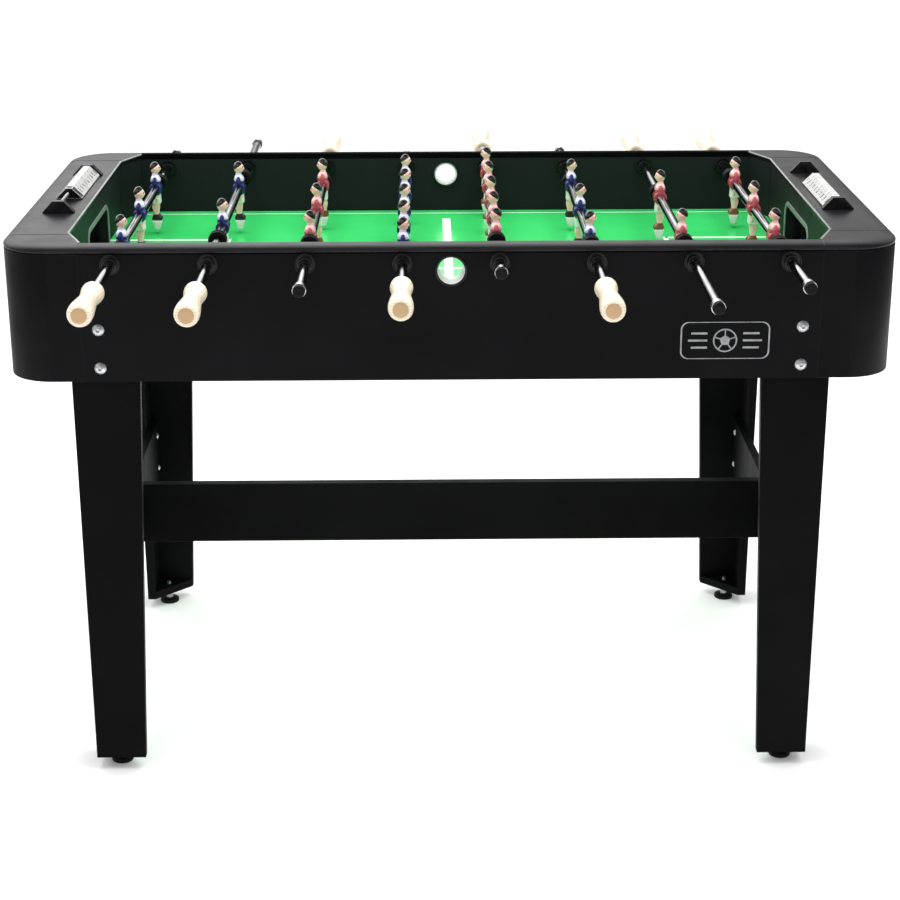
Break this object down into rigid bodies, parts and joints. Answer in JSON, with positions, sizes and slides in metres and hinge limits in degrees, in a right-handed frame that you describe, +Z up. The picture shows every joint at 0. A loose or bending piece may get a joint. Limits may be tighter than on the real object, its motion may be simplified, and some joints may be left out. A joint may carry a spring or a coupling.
{
  "type": "foosball table",
  "caption": "Table football game: boxed pitch with goals on four braced legs, sliding and spinning rods carrying men, turned handles, and bead scorers on the end rails.",
  "frame": {"origin": "on the floor, under the centre of the table", "axes": "+X along the table towards the red team's goal, +Y across it towards the rear apron, +Z up"},
  "size_m": [1.4, 1.37, 0.927],
  "materials": {
    "black_board": "black laminate on fibreboard, satin",
    "rail_plastic": "moulded plastic, dark grey satin with fine texture",
    "field": "green printed laminate, glossy, with white lines",
    "batten_wood": "raw wood, planed",
    "black_plastic": "moulded black plastic",
    "trim_plastic": "pale grey plastic trim",
    "hardware": "zinc plated steel",
    "foot_rubber": "hard black rubber",
    "bumper_rubber": "black rubber",
    "rod_chrome": "bright chrome plate",
    "handle_wood": "pale turned wood, clear lacquer",
    "blue_men_plastic": "painted moulded plastic",
    "red_men_plastic": "painted moulded plastic",
    "bead_plastic": "white moulded plastic"
  },
  "bodies": {
    "cabinet": {"front_apron": "black_board", "rear_apron": "black_board", "left_end_shell": "black_board", "right_end_shell": "black_board", "left_goal_wall": "black_board", "right_goal_wall": "black_board", "goal_frames": "trim_plastic", "ball_boxes": "black_plastic", "playfield": "field", "field_supports": "batten_wood", "front_rail": "rail_plastic", "rear_rail": "rail_plastic", "end_rails": "rail_plastic", "corner_caps": "rail_plastic", "corner_ramps": "black_board", "rod_bushings": "black_plastic", "serve_cups": "black_plastic", "leg_front_left": "black_board", "leg_front_right": "black_board", "leg_rear_left": "black_board", "leg_rear_right": "black_board", "end_stretchers": "black_board", "long_stretcher": "black_board", "bolts_and_screws": "hardware", "leveller_feet": "foot_rubber", "scorer_stands": "black_plastic"},
    "blue_goal_slider": {"blue_goal_bumpers": "bumper_rubber"},
    "blue_goal_spinner": {"blue_goal_rod": "rod_chrome", "blue_goal_men": "blue_men_plastic", "blue_goal_handle": "handle_wood"},
    "blue_defence_slider": {"blue_defence_bumpers": "bumper_rubber"},
    "blue_defence_spinner": {"blue_defence_rod": "rod_chrome", "blue_defence_men": "blue_men_plastic", "blue_defence_handle": "handle_wood"},
    "red_attack_slider": {"red_attack_bumpers": "bumper_rubber"},
    "red_attack_spinner": {"red_attack_rod": "rod_chrome", "red_attack_men": "red_men_plastic", "red_attack_handle": "handle_wood"},
    "blue_midfield_slider": {"blue_midfield_bumpers": "bumper_rubber"},
    "blue_midfield_spinner": {"blue_midfield_rod": "rod_chrome", "blue_midfield_men": "blue_men_plastic", "blue_midfield_handle": "handle_wood"},
    "red_midfield_slider": {"red_midfield_bumpers": "bumper_rubber"},
    "red_midfield_spinner": {"red_midfield_rod": "rod_chrome", "red_midfield_men": "red_men_plastic", "red_midfield_handle": "handle_wood"},
    "blue_attack_slider": {"blue_attack_bumpers": "bumper_rubber"},
    "blue_attack_spinner": {"blue_attack_rod": "rod_chrome", "blue_attack_men": "blue_men_plastic", "blue_attack_handle": "handle_wood"},
    "red_defence_slider": {"red_defence_bumpers": "bumper_rubber"},
    "red_defence_spinner": {"red_defence_rod": "rod_chrome", "red_defence_men": "red_men_plastic", "red_defence_handle": "handle_wood"},
    "red_goal_slider": {"red_goal_bumpers": "bumper_rubber"},
    "red_goal_spinner": {"red_goal_rod": "rod_chrome", "red_goal_men": "red_men_plastic", "red_goal_handle": "handle_wood"},
    "left_beads": {"left_score_beads": "bead_plastic"},
    "right_beads": {"right_score_beads": "bead_plastic"}
  },
  "joints": [
    {"name": "blue_goal_slide", "type": "slide", "parent": "cabinet", "child": "blue_goal_slider", "axis": [0, 1, 0], "range_m": [-0.0335, 0.1075]},
    {"name": "blue_goal_spin", "type": "hinge", "parent": "blue_goal_slider", "child": "blue_goal_spinner", "pos_m": [-0.525, 0, 0.878], "axis": [0, 1, 0], "continuous": true},
    {"name": "blue_defence_slide", "type": "slide", "parent": "cabinet", "child": "blue_defence_slider", "axis": [0, 1, 0], "range_m": [-0.1145, 0.0685]},
    {"name": "blue_defence_spin", "type": "hinge", "parent": "blue_defence_slider", "child": "blue_defence_spinner", "pos_m": [-0.375, 0, 0.878], "axis": [0, 1, 0], "continuous": true},
    {"name": "red_attack_slide", "type": "slide", "parent": "cabinet", "child": "red_attack_slider", "axis": [0, 1, 0], "range_m": [-0.0815, 0.1075]},
    {"name": "red_attack_spin", "type": "hinge", "parent": "red_attack_slider", "child": "red_attack_spinner", "pos_m": [-0.225, 0, 0.878], "axis": [0, 1, 0], "continuous": true},
    {"name": "blue_midfield_slide", "type": "slide", "parent": "cabinet", "child": "blue_midfield_slider", "axis": [0, 1, 0], "range_m": [-0.0295, 0.0695]},
    {"name": "blue_midfield_spin", "type": "hinge", "parent": "blue_midfield_slider", "child": "blue_midfield_spinner", "pos_m": [-0.075, 0, 0.878], "axis": [0, 1, 0], "continuous": true},
    {"name": "red_midfield_slide", "type": "slide", "parent": "cabinet", "child": "red_midfield_slider", "axis": [0, 1, 0], "range_m": [-0.0945, 0.0045]},
    {"name": "red_midfield_spin", "type": "hinge", "parent": "red_midfield_slider", "child": "red_midfield_spinner", "pos_m": [0.075, 0, 0.878], "axis": [0, 1, 0], "continuous": true},
    {"name": "blue_attack_slide", "type": "slide", "parent": "cabinet", "child": "blue_attack_slider", "axis": [0, 1, 0], "range_m": [-0.0675, 0.1215]},
    {"name": "blue_attack_spin", "type": "hinge", "parent": "blue_attack_slider", "child": "blue_attack_spinner", "pos_m": [0.225, 0, 0.878], "axis": [0, 1, 0], "continuous": true},
    {"name": "red_defence_slide", "type": "slide", "parent": "cabinet", "child": "red_defence_slider", "axis": [0, 1, 0], "range_m": [-0.0755, 0.2155]},
    {"name": "red_defence_spin", "type": "hinge", "parent": "red_defence_slider", "child": "red_defence_spinner", "pos_m": [0.375, 0, 0.878], "axis": [0, 1, 0], "continuous": true},
    {"name": "red_goal_slide", "type": "slide", "parent": "cabinet", "child": "red_goal_slider", "axis": [0, 1, 0], "range_m": [-0.0585, 0.0825]},
    {"name": "red_goal_spin", "type": "hinge", "parent": "red_goal_slider", "child": "red_goal_spinner", "pos_m": [0.525, 0, 0.878], "axis": [0, 1, 0], "continuous": true},
    {"name": "left_score_slide", "type": "slide", "parent": "cabinet", "child": "left_beads", "axis": [0, 1, 0], "range_m": [-0.093, 0]},
    {"name": "right_score_slide", "type": "slide", "parent": "cabinet", "child": "right_beads", "axis": [0, 1, 0], "range_m": [0, 0.093]}
  ]
}
